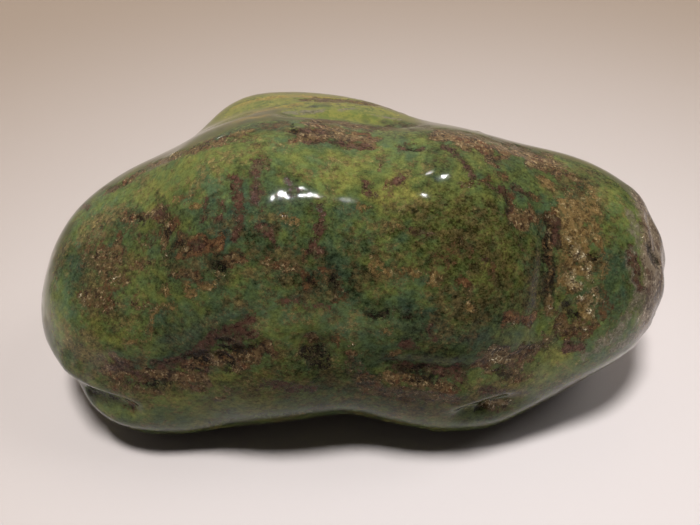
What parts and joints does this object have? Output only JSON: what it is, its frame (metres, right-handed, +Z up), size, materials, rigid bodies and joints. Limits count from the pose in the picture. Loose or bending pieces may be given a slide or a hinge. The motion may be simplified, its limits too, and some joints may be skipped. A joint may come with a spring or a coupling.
{
  "type": "jade boulder",
  "caption": "Raw jade boulder: a water-worn green stone with brown and cream matrix, humped at the back and worn flat underneath, to display or to hold papers down.",
  "frame": {"origin": "middle of the stone's outline, seen from above, on the surface that it lies on", "axes": "+X along the stone towards its rough nose, -Y out of the front shown in the picture, +Z up"},
  "size_m": [0.125, 0.0704, 0.0591],
  "materials": {
    "jade": "water-worn and polished, wet-looking, with dull brown and cream matrix in patches"
  },
  "bodies": {
    "root": {"boulder": "jade"}
  },
  "joints": []
}
